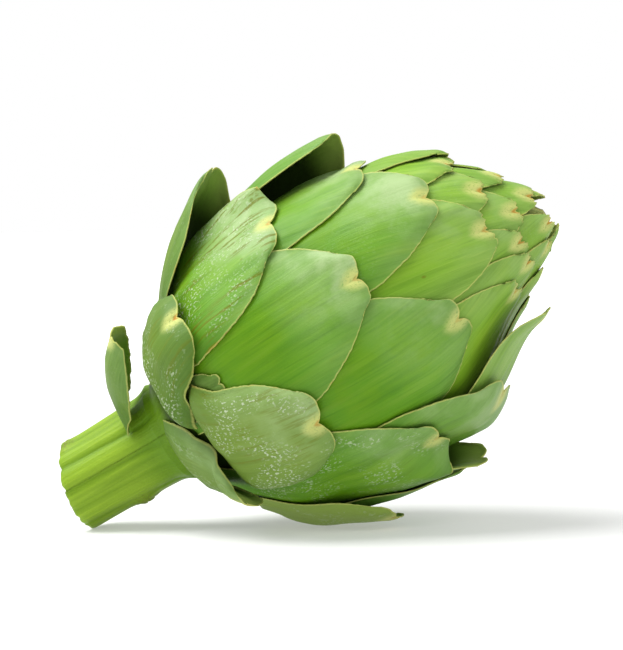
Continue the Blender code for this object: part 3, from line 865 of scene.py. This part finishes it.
@dataclass(frozen=True)
class LeafFinish:
    """Waxy leaf skin: colours from the heart of the leaf to its margin, and its markings."""

    slot: Slot
    body: Colour
    heart: Colour
    border: Colour
    deep: Colour
    pale: Colour
    # Pale bluish colour of the waxy bloom and of the painted sheen
    bloom_and_sheen: Colour = (0.30, 0.42, 0.18)
    margin: Colour = (0.50, 0.52, 0.14)
    patch: Colour = (0.48, 0.52, 0.16)
    fleck: Colour = (0.46, 0.54, 0.36)
    brown: Colour = (0.120, 0.140, 0.002)
    burnt: Colour = (0.40, 0.17, 0.01)
    inside: Colour = (0.14, 0.26, 0.03)
    # Near-black painted shade for the inner face
    shade: Colour = (0.010, 0.020, 0.004)
    roughness: float = 0.46

    def material(self) -> bpy.types.Material:
        """Build the finish.

        Noise stretched along the leaf gives its fibres; distance from the edge moves the
        colour from a bluish border to a yellower heart, and painted shade darkens it towards the foot.
        Waxy bloom mixed with painted sheen near the tip, flecks, brown streaks, small nicks, the pale
        patch and burnt point at the cleft, and the cream margin lie over it.  On the inner face,
        painted shade grows darker away from the tip.

        Returns:
            The material.
        """
        g = Graph("skin_" + self.slot.value)
        across, down, seed = g.mark("leaf_place")
        flecks, streaks, bloom_and_sheen = g.mark("leaf_marks")
        light, burn, hollow = g.mark("leaf_tone")
        edge = g.number("leaf_edge")
        side = g.number("leaf_side")
        fibre = g.noise(g.vector(across * 1.5, down * 0.05, seed), 4.0, 0.6)
        band = g.noise(g.vector(across * 0.30, down * 0.022, seed + 3.0), 2.0)
        cloud = g.noise(g.vector(across * 0.11, down * 0.09, seed + 7.0), 3.0)
        grain = g.noise(g.vector(across * 2.2, down * 1.4, seed), 3.0)
        # Bloom with painted sheen: paler towards the tip and on one side of each leaf, standing in for
        # the shine of the top light on the waxy skin
        bloom_and_sheen_amount = bloom_and_sheen * down.ramp(34.0, 4.0) * (0.45 + 0.55 * cloud.ramp(0.62, 0.38))
        bloom_and_sheen_amount = bloom_and_sheen_amount * (0.25 + 0.75 * across.ramp(-14.0, 8.0))
        bloom_and_sheen_amount = bloom_and_sheen_amount * (0.7 + grain * 0.5)
        rust = g.noise(g.vector(across * 0.75, down * 0.055, seed + 11.0), 4.0, 0.65)
        zone = g.noise(g.vector(across * 0.07, down * 0.06, seed + 19.0), 1.0).ramp(0.36, 0.52)
        away, chance = g.cells(g.vector(across * 0.95, down * 0.80, seed))
        dash = g.noise(g.vector(across * 1.6, down * 1.0, seed + 31.0), 1.5, 0.5)
        spot = away.ramp(0.34, 0.12) * chance.ramp(0.45, 0.75) * 0.8 + dash.ramp(0.56, 0.65)
        crowd = g.noise(g.vector(across * 0.09, down * 0.07, seed + 23.0), 2.0).ramp(0.42, 0.62)
        near, rare = g.cells(g.vector(across * 0.16, down * 0.11, seed + 29.0))
        nick = near.ramp(0.10, 0.04) * rare.ramp(0.62, 0.66)
        cleft = ((across / 4.2) ** 2.0 + ((down - 1.5) / 5.5) ** 2.0) ** 0.5
        patchy = cleft.ramp(1.1, 0.3) * grain.ramp(0.2, 0.5) * (burn * 3.0).clamp()
        point = ((across / 1.5) ** 2.0 + (down / 2.2) ** 2.0) ** 0.5
        skin = g.layers(
            self.border,
            (self.body, edge.ramp(0.5, 11.0)),
            (self.heart, edge.ramp(5.0, 20.0) * cloud.ramp(0.25, 0.6) * 0.9),
            (self.pale, fibre.ramp(0.52, 0.80) * 0.40),
            (self.pale, band.ramp(0.50, 0.74) * 0.30),
            (self.deep, fibre.ramp(0.50, 0.24) * 0.50),
            (self.deep, band.ramp(0.50, 0.28) * 0.40),
            # painted shade: darker towards the foot, where the leaf runs under the leaf outside it
            (self.deep, down.ramp(12.0, 40.0) * 0.4),
            (self.bloom_and_sheen, bloom_and_sheen_amount.clamp()),
            (self.pale, light.ramp(0.0, 0.5)),
            (self.deep, light.ramp(0.0, -0.5)),
            (self.brown, rust.ramp(0.53, 0.62) * zone * streaks * 0.65),
            (self.fleck, spot * crowd * flecks * edge.ramp(1.0, 4.0) * 0.95),
            (self.brown, nick * 0.7),
            (self.patch, patchy),
            (self.burnt, point.ramp(1.0, 0.4) * burn))
        # painted shade: the inner face turns near black away from the tip, where the pocket beneath the
        # leaf lies in shadow
        inside = g.layers(self.inside, (self.patch, down.ramp(14.0, 0.0) * 0.35),
                          (self.shade, down.ramp(5.0, 15.0) * hollow))
        cream = edge.ramp(0.5, 0.12) * (0.25 + grain * 1.1).clamp()
        scorch = edge.ramp(0.5, 0.1) * rust.ramp(0.55, 0.68) * (burn * 0.7)
        colour = g.layers(inside, (skin, side), (self.margin, cream * 0.75), (self.burnt, scorch))
        roughness = (self.roughness + 0.16 * (cloud - 0.5) + 0.10 * (grain - 0.5)).clamp()
        height = fibre * 0.7 + band * 0.5 + grain * 0.25 + spot * crowd * flecks * 0.6
        return g.finish(colour, roughness, height, 0.00016)


@dataclass(frozen=True)
class StemFinish:
    """Stringy stem skin: yellow green ribs, greener furrows, a pale pithy cut, and painted shade where
    the stem runs into the heart under the leaves.
    """

    rib: Colour = (0.215, 0.350, 0.020)
    furrow: Colour = (0.10, 0.20, 0.004)
    bright: Colour = (0.33, 0.48, 0.035)
    shoulder: Colour = (0.09, 0.21, 0.006)
    # Near-black painted shade for the stem inside the pockets under the leaves
    shade: Colour = (0.012, 0.024, 0.004)
    pith: Colour = (0.40, 0.44, 0.20)
    brown: Colour = (0.14, 0.11, 0.03)

    def material(self) -> bpy.types.Material:
        """Build the finish from the stem's own attributes: place, furrow depth and cut.

        Returns:
            The material.
        """
        g = Graph("skin_" + Slot.STEM.value)
        turn, along, _ = g.mark("stem_place")
        furrow, cut, scar = g.mark("stem_marks")
        fibre = g.noise(g.vector(turn * 1.3, along * 0.04, 3.0), 4.0, 0.6)
        band = g.noise(g.vector(turn * 0.32, along * 0.02, 5.0), 2.0)
        grain = g.noise(g.vector(turn * 1.8, along * 1.2, 9.0), 3.0)
        ring = g.noise(g.vector(turn * 0.5, cut * 9.0, 1.0), 3.0)
        end = g.layers(self.pith, (self.rib, ring.ramp(0.45, 0.7) * 0.6),
                       (self.brown, cut.ramp(0.55, 0.05) * cut.ramp(0.0, 0.02) * 0.5))
        colour = g.layers(
            self.rib,
            (self.bright, fibre.ramp(0.45, 0.75) * 0.6),
            (self.furrow, furrow.clamp() * 0.85),
            (self.furrow, band.ramp(0.48, 0.30) * 0.5),
            (self.shoulder, along.ramp(-16.0, 0.0) * 0.75),
            # painted shade in the pockets under the lowest leaves
            (self.shade, along.ramp(4.0, 9.0) * 0.9),
            (self.brown, scar * grain.ramp(0.35, 0.65) * 0.8),
            (end, cut.ramp(0.0, 0.04)))
        roughness = (0.45 + 0.2 * (grain - 0.5)).clamp()
        return g.finish(colour, roughness, fibre * 0.8 + band * 0.5 + grain * 0.3, 0.0003)


FINISHES = {
    Slot.OUTER: LeafFinish(Slot.OUTER, body=(0.115, 0.205, 0.018), heart=(0.140, 0.235, 0.012),
                           border=(0.100, 0.200, 0.030), deep=(0.055, 0.120, 0.008),
                           pale=(0.23, 0.33, 0.06), roughness=0.52),
    Slot.MIDDLE: LeafFinish(Slot.MIDDLE, body=(0.105, 0.275, 0.008), heart=(0.145, 0.310, 0.004),
                            border=(0.105, 0.250, 0.022), deep=(0.045, 0.150, 0.002),
                            pale=(0.23, 0.38, 0.04)),
    Slot.CROWN: LeafFinish(Slot.CROWN, body=(0.180, 0.360, 0.018), heart=(0.21, 0.38, 0.014),
                           border=(0.190, 0.340, 0.045), deep=(0.070, 0.180, 0.006),
                           pale=(0.34, 0.48, 0.07)),
    Slot.INNER: LeafFinish(Slot.INNER, body=(0.16, 0.22, 0.03), heart=(0.16, 0.22, 0.03),
                           border=(0.12, 0.19, 0.03), deep=(0.05, 0.07, 0.008),
                           pale=(0.26, 0.30, 0.07), roughness=0.55),
}


# ---------------------------------------------------------------- stem, side leaf and heart


@dataclass(frozen=True)
class Scar:
    """A broken leaf base on the stem, in millimetres and degrees."""

    axial: float
    angle: float
    height: float
    spread: float


@dataclass
class Stem:
    """The ribbed stem with its slanting cut, carried on into the heart. Millimetres."""

    length: float = 35.0
    radius: float = 13.4
    slope: float = 0.18
    ribs: int = 11
    rib_height: float = 0.55
    swell: float = 0.9
    collar: float = 1.6
    heart_top: float = 30.0
    cut_rings: tuple[float, ...] = (0.05, 0.18, 0.34, 0.5, 0.66, 0.8, 0.9, 0.97)
    scars: tuple[Scar, ...] = (Scar(-17, -82, 1.4, 3.5), Scar(-31, 70, 1.0, 3.0))
    sides: int = 176

    def ribbing(self, axial: Grid, theta: Grid) -> tuple[Grid, Grid, Grid]:
        """Return the stem's radius, how deep in a furrow a place is, and scar strength.

        The radius is the plain radius, swelling towards the bud, plus rounded ribs with
        narrow furrows between them, plus a bell-shaped bump at each scar.

        Args:
            axial: Places along the axis in millimetres, negative below the bud.
            theta: Angles round the axis.

        Returns:
            Radius in millimetres, furrow depth 0 to 1, scar strength 0 to 1.
        """
        place = 1 + axial / self.length
        wander = 0.35 * np.sin(3 * theta + 1.0) + 0.5 * place
        wave = np.abs(np.sin(0.5 * self.ribs * theta + wander))
        depth = 0.75 + 0.25 * np.sin(2 * theta + 0.8)
        furrow = (1 - wave) ** 1.5 * depth
        collar = np.clip((place - 0.85) / 0.15, 0, 1.3)
        radius = self.radius + self.swell * np.clip(place, 0, 1) ** 2 + self.collar * collar ** 2
        radius = radius + self.rib_height * (0.55 - 1.6 * furrow) + 0.3 * np.cos(3 * theta + 2 * place)
        radius = radius + 0.08 * ripple(theta, 0.21, 2.0)
        strength = np.zeros_like(radius)
        for scar in self.scars:
            turn = (theta - math.radians(scar.angle) + math.pi) % (2 * math.pi) - math.pi
            away = np.hypot((axial - scar.axial) / scar.spread, turn * self.radius / scar.spread)
            bump = np.exp(-away ** 2)
            radius = radius + scar.height * bump * (1 + 0.25 * ripple(axial + 4 * theta, 2.3, 1.0))
            strength = np.maximum(strength, bump)
        return radius, furrow, strength

    def build(self, bud: BudShape, material: bpy.types.Material) -> bpy.types.Object:
        """Loft the cut face, the skin and the hidden heart as one closed turning.

        Args:
            bud: The bud's shape.
            material: The stem's finish.

        Returns:
            The stem's object.
        """
        theta = np.arange(self.sides) / self.sides * 2 * math.pi
        places = np.r_[0.0, 0.012, 0.03, np.linspace(0.06, 1.0, 70)][:, None]
        tilted = self.slope * self.radius * np.sin(theta)[None, :] * (1 - places)
        ragged = 0.35 * ripple(theta, 0.5, 4.0)[None, :] * np.exp(-places * 30)
        axial = self.length * (places - 1) + tilted + ragged
        radius, furrow, scar = self.ribbing(axial, theta[None, :])
        radius = radius - 0.7 * np.exp(-places * 70)
        inward = np.array(self.cut_rings)[:, None]
        centre = axial[:1].mean()
        dish = -0.5 * (1 - inward ** 2) + 0.25 * ripple(theta[None, :] + 7 * inward, 0.8, 3.0) * inward
        cut_axial = centre + (axial[:1] - centre) * inward - dish
        cut_radius = radius[:1] * inward
        top = bud.distance(self.heart_top * MM)
        s = np.linspace(2.0 * MM, top, 14)[:, None]
        heart = bud.place(s, theta[None, :], np.zeros((1, self.sides))) / MM
        heart_axial = heart[..., 0] + 0 * theta[None, :]
        heart_radius = np.hypot(heart[..., 1], heart[..., 2])
        axial = np.concatenate([cut_axial, axial, heart_axial, heart_axial[-1:] + 2])
        around = np.concatenate([cut_radius, radius, heart_radius, heart_radius[-1:] * 0.4])
        points = np.stack([axial, around * np.cos(theta), around * np.sin(theta)], axis=-1) * MM
        rows = len(axial)
        rings = len(inward)
        cut = np.concatenate([1.05 - inward + 0 * theta[None, :], np.zeros((rows - rings, self.sides))])
        pad = ((rings, len(heart_axial) + 1), (0, 0))
        marks = {
            "stem_place": np.stack([theta * self.radius + 0 * axial, axial, 0 * axial], axis=-1),
            "stem_marks": np.stack([np.pad(furrow, pad), cut, np.pad(scar, pad)], axis=-1),
        }
        return turning("ribbed_stem", bud.to_row(points), marks).build(material)


@dataclass
class SideLeaf:
    """The small cupped leaf that stands off the stem. Millimetres and degrees."""

    angle: float = 52.0
    path: tuple = ((0, -8.5, 14.4, 4.2), (1, -8, 20, 7.2), (2, -6, 27, 10.5), (3, -1, 35, 10),
                   (4, 6.5, 42, 6))
    foot_turn: float = -16.0
    far_cup: float = 1.35
    near_cup: float = 1.1
    length: float = 46.0
    opening: float = math.radians(64.0)
    rows: int = 54
    columns: int = 33
    marks: Marks = Marks(0.05, 0.1, 0.2, -0.05, 0.4)

    def build(self, bud: BudShape, material: bpy.types.Material) -> bpy.types.Object:
        """Bend a gutter-shaped sheet along its middle line, hollow side to the bud.

        Args:
            bud: The bud's shape.
            material: The leaf's finish.

        Returns:
            The leaf's object.
        """
        t = np.linspace(0, 1, self.rows)[:, None]
        u = np.linspace(-1, 1, self.columns)
        v = (u * (1 + 0.3 * (1 - u * u)))[None, :]
        knots, axial, radius, width = np.array(self.path, dtype=float).T
        knots = knots / knots[-1]
        ragged = 0.05 * np.abs(v) ** 1.5 + 0.06 * np.exp(-(v / 0.13) ** 2) + 0.015 * ripple(v, 0.6, 2.0)
        where = t - np.clip(t * 4 - 3, 0, 1) * ragged
        centre_a = soft_curve(knots, axial, 0.3)(where)
        centre_r = soft_curve(knots, radius, 0.12)(where)
        half = soft_curve(knots, width, 0.25)(t) * (1 + 0.015 * ripple(t, 0.09, 1.0))
        swing = v * self.opening
        out = half * np.sin(swing) / math.sin(self.opening)
        far = np.where(v < 0, self.far_cup + 0.05 * ripple(t, 0.16, 3.0), self.near_cup)
        cup = half * (1 - np.cos(swing)) * far * np.clip(t * 4, 0, 1)
        slope = math.atan2(radius[-1] - radius[1], axial[-1] - axial[1])
        local_a = centre_a + cup * math.sin(slope)
        local_r = centre_r - cup * math.cos(slope)
        turn = np.radians(self.angle + self.foot_turn * np.clip(1 - t / 0.4, 0, 1) ** 1.5)
        c, s = np.cos(turn), np.sin(turn)
        points = np.stack([local_a, local_r * c + out * s, local_r * s - out * c], axis=-1) * MM
        from_tip = (1 - t) * self.length + 0 * v
        edge = np.minimum((1 - np.abs(v)) * half, from_tip)
        thick = MM * (0.45 + 0.65 * fade(edge, 0, 3))
        marks = finish_marks(v * half, from_tip, 5.0, edge, self.marks, 0.0)
        mid = math.radians(self.angle)
        outward = np.broadcast_to(bud.turned(np.array([-math.sin(slope), math.cos(mid) * math.cos(slope),
                                                       math.sin(mid) * math.cos(slope)])), points.shape)
        return shell("side_leaf", bud.to_row(points), thick, outward, marks).build(material)


@dataclass
class ClosedHeart:
    """The closed innermost leaves: one tight cone with the spiral edges of its leaves."""

    bottom: float = 30.5
    top: float = 115.0
    tip: tuple = ((0, 1.0), (4, 0.86), (8, 0.66), (12, 0.43), (15, 0.24), (17, 0.1))
    folds_from: float = 95.0
    folds_rise: float = 38.0
    fold_depth: float = 0.22
    leaves: int = 5
    sides: int = 120
    marks: Marks = Marks(0.0, 0.0, 0.3, 0.1, 0.3)

    def build(self, bud: BudShape, material: bpy.types.Material) -> bpy.types.Object:
        """Turn the cone and cut the spiral steps into its upper part.

        The radius shrinks by up to a few percent from one leaf edge to the next, so each edge
        stands out as a step that winds round the tip.

        Args:
            bud: The bud's shape.
            material: The heart's finish.

        Returns:
            The heart's object.
        """
        theta = np.arange(self.sides) / self.sides * 2 * math.pi
        first = float(np.interp(self.bottom * MM, bud.core[:, 0], bud.s_grid))
        last = float(np.interp(self.top * MM, bud.core[:, 0], bud.s_grid))
        s = np.linspace(first, last, 60)[:, None] + 0 * theta[None, :]
        body = bud.place(s, theta[None, :] + 0 * s, 0 * s)
        lift, shrink = np.array(self.tip).T
        fine = np.linspace(0.3, lift[-1], 40)
        scale = soft_curve(lift, shrink, 3.0)(fine)[:, None, None]
        cap = body[-1:] * np.concatenate([np.ones_like(scale), scale, scale], axis=-1)
        cap[..., 0] += fine[:, None] * MM
        points = np.concatenate([body[:1] * (1, 0.5, 0.5) + (2 * MM, 0, 0), body, cap])
        climb = np.clip((points[..., 0] / MM - self.folds_from) / self.folds_rise, 0, 1)
        fold = (self.leaves * theta[None, :] / (2 * math.pi) + 1.6 * climb) % 1.0
        points[..., 1:] *= (1 - self.fold_depth * climb * fold)[..., None]
        edge = 4.0 * (1 - fold) + 0.2
        from_tip = (points[-1, 0, 0] - points[..., 0]) / MM
        marks = finish_marks(fold * 8 - 4, from_tip, 2.0, edge, self.marks, 0.0)
        marks["leaf_side"] = np.ones_like(fold)
        return turning("closed_heart", bud.to_row(points), marks).build(material)


# ---------------------------------------------------------------- studio


@dataclass(frozen=True)
class Lamp:
    """A soft square lamp aimed at the artichoke."""

    name: str
    place: tuple[float, float, float]
    size: float
    power: float


@dataclass(frozen=True)
class Studio:
    """Pale floor, soft lamps, white surroundings and the camera."""

    floor_half: float = 6.0
    floor_tones: tuple[Colour, Colour] = ((0.62, 0.62, 0.62), (0.64, 0.64, 0.64))
    floor_glow: tuple[Colour, Colour] = ((0.3, 0.3, 0.3), (0.9, 0.9, 0.9))
    glow_reach: tuple[float, float] = (0.15, 1.6)
    air: float = 0.55
    aim: tuple[float, float, float] = (0.0018, -0.0022, 0.0610)
    distance: float = 0.8
    swing: float = math.radians(14.0)
    height: float = math.radians(3.0)
    roll: float = math.radians(2.0)
    lens: float = 147.7
    lamps: tuple[Lamp, ...] = (
        Lamp("top_lamp", (-0.7, -0.15, 1.3), 1.2, 35.0),
        Lamp("side_lamp", (0.9, -1.0, 0.9), 1.0, 6.0),
    )

    def floor(self) -> bpy.types.Object:
        """Lay the wide pale floor, which glows as painted light, faintly near the artichoke and strongly
        far off, and return it.
        """
        x, y = np.meshgrid(np.linspace(-1, 1, 9), np.linspace(-1, 1, 9), indexing="ij")
        points = np.stack([x, y, 0 * x], axis=-1) * self.floor_half
        points[..., 2] = -0.02 * MM
        g = Graph("studio_floor")
        place = g.node("ShaderNodeTexCoord", {}, {}).outputs["Object"]
        tone = g.noise(place, 2.0, scale=3.0)
        x, y, _ = g.split(place)
        away = ((x ** 2.0 + y ** 2.0) ** 0.5).ramp(*self.glow_reach)
        g.feed(g.shader.inputs["Emission Color"], g.blend(*self.floor_glow, away))
        g.shader.inputs["Emission Strength"].default_value = 1.0
        g.finish(g.blend(*self.floor_tones, tone), 0.7, tone, 0.00002)
        return Solid("floor", points, quads(9, 9)).build(g.material)

    def light(self) -> None:
        """Set the lamps and the white surroundings."""
        for lamp in self.lamps:
            data = bpy.data.lights.new(lamp.name, "AREA")
            data.size = lamp.size
            data.energy = lamp.power
            put(lamp.name, data, self.facing(lamp.place, 0.0))
        world = bpy.data.worlds.new("studio_air")
        world.use_nodes = True
        tree = world.node_tree
        mix = tree.nodes.new("ShaderNodeMixShader")
        tree.links.new(tree.nodes.new("ShaderNodeLightPath").outputs["Is Camera Ray"], mix.inputs[0])
        glow, backdrop = tree.nodes["Background"], tree.nodes.new("ShaderNodeBackground")
        for place, (sky, strength) in enumerate(((glow, self.air), (backdrop, 1.0)), start=1):
            sky.inputs["Color"].default_value = (1.0, 1.0, 1.0, 1.0)
            sky.inputs["Strength"].default_value = strength
            tree.links.new(sky.outputs[0], mix.inputs[place])
        tree.links.new(mix.outputs[0], tree.nodes["World Output"].inputs["Surface"])
        bpy.context.scene.world = world
        bpy.context.scene.view_settings.view_transform = "Standard"

    def facing(self, place: Sequence[float], roll: float) -> Matrix:
        """Return the pose of a thing at a place that looks at the aim, turned by roll.

        Args:
            place: Where it stands.
            roll: Turn about its line of sight.

        Returns:
            A 4 by 4 matrix.
        """
        back = np.array(place) - np.array(self.aim)
        back /= np.linalg.norm(back)
        right = np.cross([0.0, 0.0, 1.0], back)
        right /= np.linalg.norm(right)
        up = np.cross(back, right)
        c, s = math.cos(roll), math.sin(roll)
        basis = np.stack([right * c - up * s, up * c + right * s, back], axis=1)
        pose = np.eye(4)
        pose[:3, :3] = basis
        pose[:3, 3] = place
        return Matrix(pose.tolist())

    def camera(self) -> None:
        """Stand the camera at its distance from the aim and make it the scene's own."""
        across = self.distance * math.cos(self.height)
        place = (self.aim[0] + across * math.sin(self.swing),
                 self.aim[1] - across * math.cos(self.swing),
                 self.aim[2] + self.distance * math.sin(self.height))
        data = bpy.data.cameras.new("camera")
        data.sensor_fit = "VERTICAL"
        data.sensor_height = 36.0
        data.lens = self.lens
        bpy.context.scene.camera = put("camera", data, self.facing(place, self.roll))


def stand_for(piece: bpy.types.Object, node: str) -> None:
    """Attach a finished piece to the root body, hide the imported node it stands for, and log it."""
    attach(piece, "root")
    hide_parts(node)
    LOG.info("%s stands for %s, %d faces", piece.name, node, len(piece.data.polygons))


def main() -> None:
    """Build the artichoke from the heart outwards, then the studio round it."""
    logging.basicConfig(level=logging.INFO, format="%(message)s")
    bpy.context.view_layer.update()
    bud = BudShape()
    layers = Layers(bud)
    skins = {slot: finish.material() for slot, finish in FINISHES.items()}
    stand_for(Stem().build(bud, StemFinish().material()), "stem_and_heart")
    stand_for(SideLeaf().build(bud, skins[Slot.OUTER]), "stem_leaf")
    stand_for(ClosedHeart().build(bud, skins[Slot.INNER]), "inner_bud")
    for row in reversed(LEAVES):
        marks = LEAF_MARKS.get(row[0], Marks(bloom_and_sheen=0.35, burn=0.8) if row[3] > 112 else Marks())
        shape = LEAF_SHAPES.get(row[0], {"ragged": 0.7, "full": 0.85} if row[3] > 116 else {})
        leaf = Leaf(*row, marks=marks, **shape)
        stand_for(leaf.build(bud, layers, skins[leaf.slot]), "bract_" + leaf.name)
    studio = Studio()
    studio.floor()
    studio.light()
    studio.camera()


if __name__ == "__main__":
    main()
